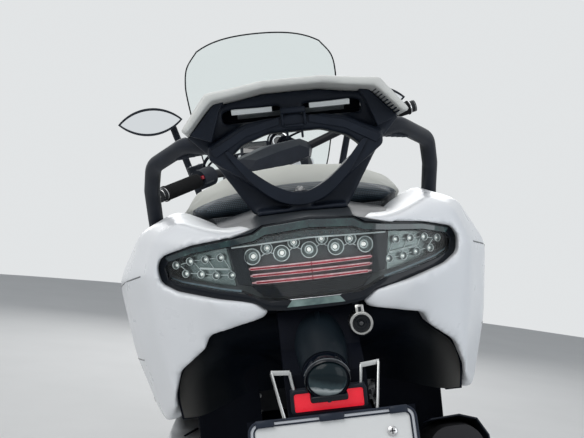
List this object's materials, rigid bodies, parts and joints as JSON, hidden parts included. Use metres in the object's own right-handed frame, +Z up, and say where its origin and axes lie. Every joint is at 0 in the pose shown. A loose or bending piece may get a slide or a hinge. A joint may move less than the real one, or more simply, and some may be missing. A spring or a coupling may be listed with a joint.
{
  "type": "motor scooter",
  "caption": "Maxi scooter leaning on its side stand: step-through body, under-seat bin, rear rack, screen, turning wheels and steering, hinged seat and stands.",
  "frame": {"origin": "on the ground under the middle of the bounding box, with the scooter on its tyres and side stand", "axes": "+Y forward along the scooter, +X to the rider's right, +Z up; the scooter leans 12 degrees to -X"},
  "size_m": [0.8666, 2.1862, 1.3237],
  "materials": {
    "frame_black": "satin",
    "engine_metal": "satin",
    "exhaust_dark": "satin",
    "bin_plastic": "matt",
    "body_white": "gloss",
    "trim_black": "satin",
    "rack_grey": "satin",
    "lamp_black": "gloss",
    "lamp_chrome": "gloss",
    "lamp_red": "gloss",
    "lamp_clear": "gloss",
    "screen_clear": "gloss",
    "plate_white": "satin",
    "mirror": "gloss",
    "seat_light": "grained",
    "seat_dark": "woven",
    "bar_metal": "satin",
    "grip_rubber": "matt",
    "wheel_grey": "satin",
    "tyre": "matt"
  },
  "bodies": {
    "chassis": {"main_frame": "frame_black", "engine_block": "engine_metal", "belt_case": "engine_metal", "rear_arm": "engine_metal", "air_box": "engine_metal", "exhaust": "exhaust_dark", "rear_shocks": "frame_black", "under_seat_bin": "bin_plastic", "tail_panels": "body_white", "tail_under_cover": "trim_black", "tail_top_cover": "trim_black", "tail_lamp_bezel": "lamp_black", "tail_lamp_core": "lamp_chrome", "tail_lamp_bars": "lamp_red", "tail_lamp_lens": "lamp_clear", "plate_hanger": "trim_black", "number_plate": "plate_white", "reflector": "lamp_red", "rear_camera": "trim_black", "rack_frame": "trim_black", "rack_cover": "rack_grey", "grab_rails": "trim_black", "side_covers": "body_white", "floor_pan": "trim_black", "lower_skirts": "body_white", "belly_pan": "trim_black", "centre_tunnel": "trim_black", "leg_shield": "trim_black", "nose_cowl": "body_white", "headlamps": "lamp_clear", "instrument_cluster": "trim_black", "windscreen": "screen_clear", "mirrors": "trim_black", "mirror_glass": "mirror"},
    "steering": {"fork": "frame_black", "front_fender": "body_white", "handlebar": "bar_metal", "grips": "grip_rubber", "bar_controls": "trim_black", "handlebar_cover": "trim_black"},
    "front_wheel": {"front_tyre": "tyre", "front_rim": "wheel_grey", "front_discs": "bar_metal"},
    "rear_wheel": {"rear_tyre": "tyre", "rear_rim": "wheel_grey", "rear_disc": "bar_metal"},
    "seat": {"seat_pan": "trim_black", "seat_band": "seat_dark", "seat_cushion": "seat_light"},
    "side_stand": {"side_stand": "frame_black"},
    "centre_stand": {"centre_stand": "frame_black"},
    "fuel_lid": {"fuel_lid": "trim_black"}
  },
  "joints": [
    {"name": "steering", "type": "hinge", "parent": "chassis", "child": "steering", "pos_m": [0.05642, 0.56597, 0.73445], "axis": [-0.1865, -0.4421, 0.8774], "range_deg": [-60, 0]},
    {"name": "front_wheel_spin", "type": "hinge", "parent": "steering", "child": "front_wheel", "pos_m": [0.13872, 0.84071, 0.25714], "axis": [0.8011, 0.4485, 0.3963], "continuous": true},
    {"name": "rear_wheel_spin", "type": "hinge", "parent": "chassis", "child": "rear_wheel", "pos_m": [0.15335, -0.70473, 0.27841], "axis": [0.9781, 0, 0.2079], "continuous": true},
    {"name": "seat_hinge", "type": "hinge", "parent": "chassis", "child": "seat", "pos_m": [0.05668, -0.03762, 0.73322], "axis": [-0.9781, 0, -0.2079], "range_deg": [0, 75]},
    {"name": "side_stand_hinge", "type": "hinge", "parent": "chassis", "child": "side_stand", "pos_m": [0.02936, -0.11305, 0.17876], "axis": [-0.9919, 0.0015, 0.1269], "range_deg": [0, 100]},
    {"name": "centre_stand_hinge", "type": "hinge", "parent": "chassis", "child": "centre_stand", "pos_m": [0.1726, -0.35715, 0.18785], "axis": [0.9781, 0, 0.2079], "range_deg": [0, 86]},
    {"name": "fuel_lid_hinge", "type": "hinge", "parent": "chassis", "child": "fuel_lid", "pos_m": [0.08554, 0.30513, 0.59745], "axis": [-0.9781, 0, -0.2079], "range_deg": [0, 100]}
  ]
}
